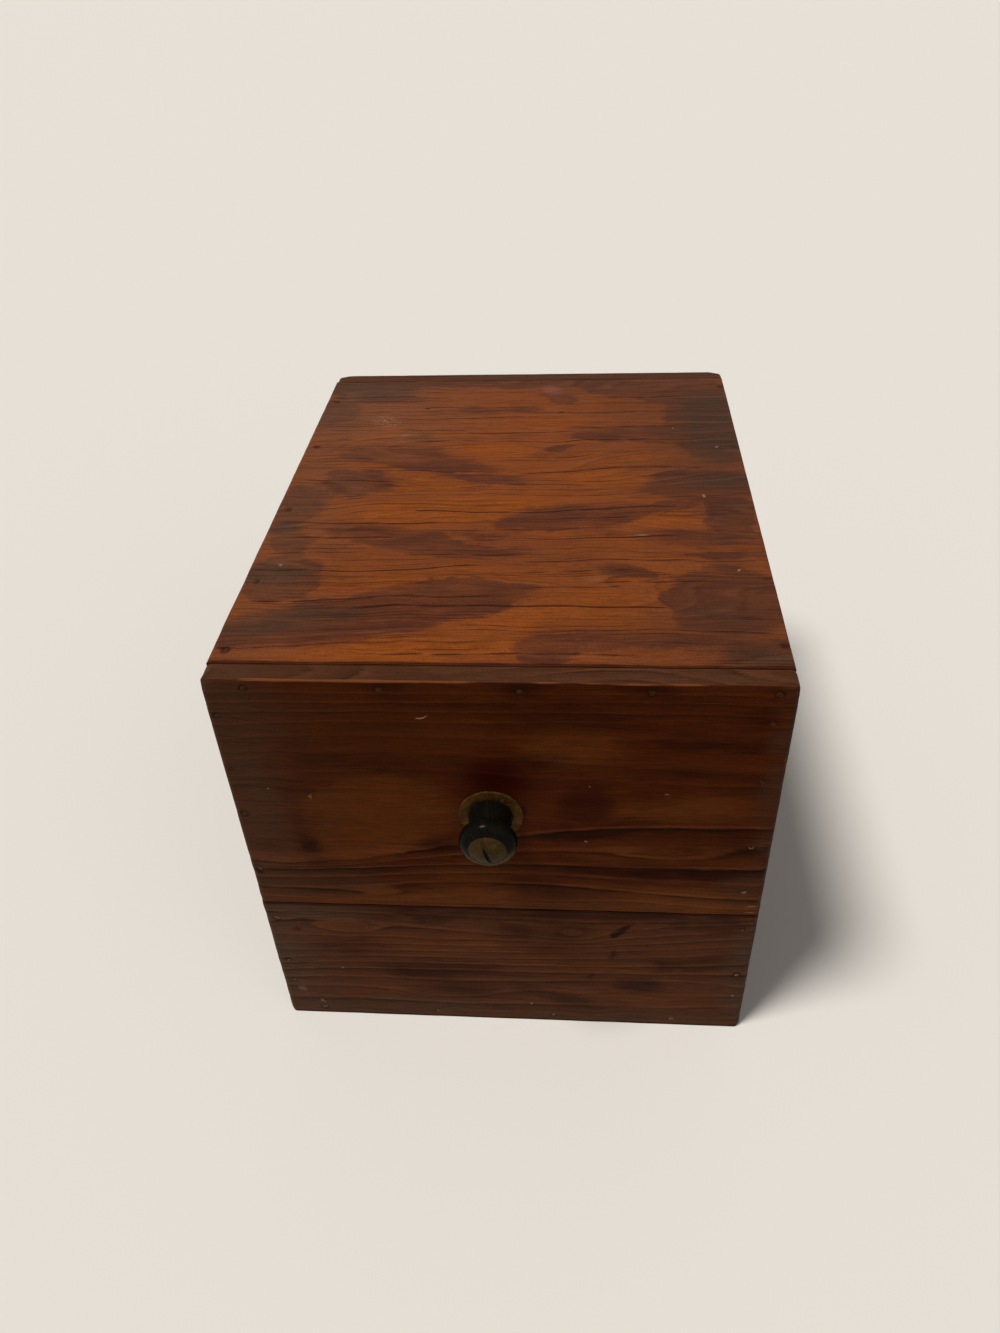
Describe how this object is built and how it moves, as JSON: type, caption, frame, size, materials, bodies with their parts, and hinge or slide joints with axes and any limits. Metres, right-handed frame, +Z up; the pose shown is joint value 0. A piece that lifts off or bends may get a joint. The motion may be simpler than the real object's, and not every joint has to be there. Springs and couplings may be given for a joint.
{
  "type": "hinged wooden box",
  "caption": "Nailed wooden box: a shallow base under a deep lid that swings back on rear hinges, opened by a turned knob on the lid's front. Stores spices and small kitchen goods.",
  "frame": {"origin": "under the middle of the boards, on the surface the box stands on; the knob and the hinges reach past the boards in Y and are left out of this middle", "axes": "+Z up; the front with its knob faces -Y and the hinges are at +Y; +X is to the right seen from the front"},
  "size_m": [0.235, 0.3276, 0.229],
  "materials": {
    "top_wood": "satin, worn varnish",
    "front_wood": "satin, worn varnish",
    "side_wood": "satin, worn varnish",
    "base_wood": "satin, worn varnish",
    "iron": "dull, aged",
    "old_brass": "tarnished",
    "ebonised_wood": "gloss"
  },
  "bodies": {
    "base": {"base_bottom_board": "base_wood", "base_front_board": "base_wood", "base_back_board": "base_wood", "base_left_board": "base_wood", "base_right_board": "base_wood", "base_front_nails": "iron", "base_back_nails": "iron", "base_bottom_nails": "iron", "left_hinge_base_leaf": "old_brass", "left_hinge_pin": "old_brass", "right_hinge_base_leaf": "old_brass", "right_hinge_pin": "old_brass", "base_hinge_screws": "old_brass"},
    "lid": {"lid_top_board": "top_wood", "lid_front_board": "front_wood", "lid_back_board": "front_wood", "lid_left_board": "side_wood", "lid_right_board": "side_wood", "lid_front_nails": "iron", "lid_back_nails": "iron", "lid_top_nails": "iron", "knob_backplate": "old_brass", "knob": "ebonised_wood", "knob_bolt": "old_brass", "knob_washer": "iron", "knob_nut": "iron", "left_hinge_lid_leaf": "old_brass", "right_hinge_lid_leaf": "old_brass", "lid_hinge_screws": "old_brass"}
  },
  "joints": [
    {"name": "lid_hinge", "type": "hinge", "parent": "base", "child": "lid", "pos_m": [0, 0.15175, 0.091], "axis": [-1, 0, 0], "range_deg": [0, 132]}
  ]
}
